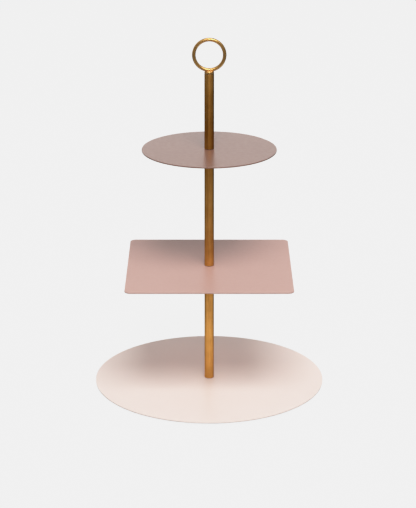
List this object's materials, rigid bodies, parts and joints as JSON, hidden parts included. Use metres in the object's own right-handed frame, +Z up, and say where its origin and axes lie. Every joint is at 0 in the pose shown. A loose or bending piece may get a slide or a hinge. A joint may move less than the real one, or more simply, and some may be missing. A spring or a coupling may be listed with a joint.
{
  "type": "tiered cake stand",
  "caption": "Tiered cake stand: a round base plate, a square plate and a small round plate of coated sheet steel on a slim brass pole that unscrews in sections, with a ring handle on top.",
  "frame": {"origin": "on the surface that the stand rests on, on the pole's axis", "axes": "+Z up along the pole; X along the square plate's near edge and the ring's plane; -Y towards the viewer"},
  "size_m": [0.305, 0.305, 0.4702],
  "materials": {
    "base_coat": "satin",
    "square_coat": "satin",
    "top_coat": "satin",
    "antique_brass": "satin",
    "plain_brass": "satin",
    "zinc_steel": "satin",
    "clear_nylon": "satin",
    "foot_rubber": "matte"
  },
  "bodies": {
    "base": {"base_plate": "base_coat", "foot_pads": "foot_rubber"},
    "screw_joint": {"base_screw_washer": "zinc_steel"},
    "base_screw": {"base_screw": "zinc_steel"},
    "lower_joint": {"base_plate_washer": "clear_nylon"},
    "lower_column": {"lower_tube": "antique_brass", "lower_tube_bottom_insert": "plain_brass", "lower_tube_top_insert": "plain_brass", "square_plate_lower_washer": "clear_nylon"},
    "square_tier": {"square_plate": "square_coat"},
    "middle_joint": {"square_plate_upper_washer": "clear_nylon"},
    "middle_column": {"middle_joint_stud": "zinc_steel", "middle_tube": "antique_brass", "middle_tube_bottom_insert": "plain_brass", "middle_tube_top_insert": "plain_brass", "top_plate_lower_washer": "clear_nylon"},
    "top_tier": {"top_plate": "top_coat"},
    "upper_joint": {"top_plate_upper_washer": "clear_nylon"},
    "upper_column": {"upper_joint_stud": "zinc_steel", "upper_tube": "antique_brass", "upper_tube_bottom_insert": "plain_brass", "upper_tube_top_insert": "plain_brass"},
    "handle_joint": {"handle_washer": "clear_nylon"},
    "handle": {"handle_stud": "zinc_steel", "handle_cap": "antique_brass", "handle_ring": "antique_brass"}
  },
  "joints": [
    {"name": "base_screw_drop", "type": "slide", "parent": "base", "child": "screw_joint", "axis": [0, 0, -1], "range_m": [0, 0.007]},
    {"name": "base_screw_turn", "type": "hinge", "parent": "screw_joint", "child": "base_screw", "pos_m": [0, 0, 0.003], "axis": [0, 0, -1], "range_deg": [0, 2520]},
    {"name": "lower_column_turn", "type": "hinge", "parent": "base", "child": "lower_joint", "pos_m": [0, 0, 0.0055], "axis": [0, 0, 1], "range_deg": [0, 2520]},
    {"name": "lower_column_lift", "type": "slide", "parent": "lower_joint", "child": "lower_column", "axis": [0, 0, 1], "range_m": [0, 0.007]},
    {"name": "square_plate_turn", "type": "hinge", "parent": "lower_column", "child": "square_tier", "pos_m": [0, 0, 0.1633], "axis": [0, 0, 1], "continuous": true},
    {"name": "middle_column_turn", "type": "hinge", "parent": "lower_column", "child": "middle_joint", "pos_m": [0, 0, 0.1648], "axis": [0, 0, 1], "range_deg": [0, 2520]},
    {"name": "middle_column_lift", "type": "slide", "parent": "middle_joint", "child": "middle_column", "axis": [0, 0, 1], "range_m": [0, 0.007]},
    {"name": "top_plate_turn", "type": "hinge", "parent": "middle_column", "child": "top_tier", "pos_m": [0, 0, 0.3226], "axis": [0, 0, 1], "continuous": true},
    {"name": "upper_column_turn", "type": "hinge", "parent": "middle_column", "child": "upper_joint", "pos_m": [0, 0, 0.3241], "axis": [0, 0, 1], "range_deg": [0, 2520]},
    {"name": "upper_column_lift", "type": "slide", "parent": "upper_joint", "child": "upper_column", "axis": [0, 0, 1], "range_m": [0, 0.007]},
    {"name": "handle_turn", "type": "hinge", "parent": "upper_column", "child": "handle_joint", "pos_m": [0, 0, 0.4235], "axis": [0, 0, 1], "range_deg": [0, 2880]},
    {"name": "handle_lift", "type": "slide", "parent": "handle_joint", "child": "handle", "axis": [0, 0, 1], "range_m": [0, 0.008]}
  ],
  "couplings": [
    {"joint": "base_screw_turn", "follows": "base_screw_drop", "rad_per_m": 6283.2},
    {"joint": "lower_column_turn", "follows": "lower_column_lift", "rad_per_m": 6283.2},
    {"joint": "middle_column_turn", "follows": "middle_column_lift", "rad_per_m": 6283.2},
    {"joint": "upper_column_turn", "follows": "upper_column_lift", "rad_per_m": 6283.2},
    {"joint": "handle_turn", "follows": "handle_lift", "rad_per_m": 6283.2}
  ]
}
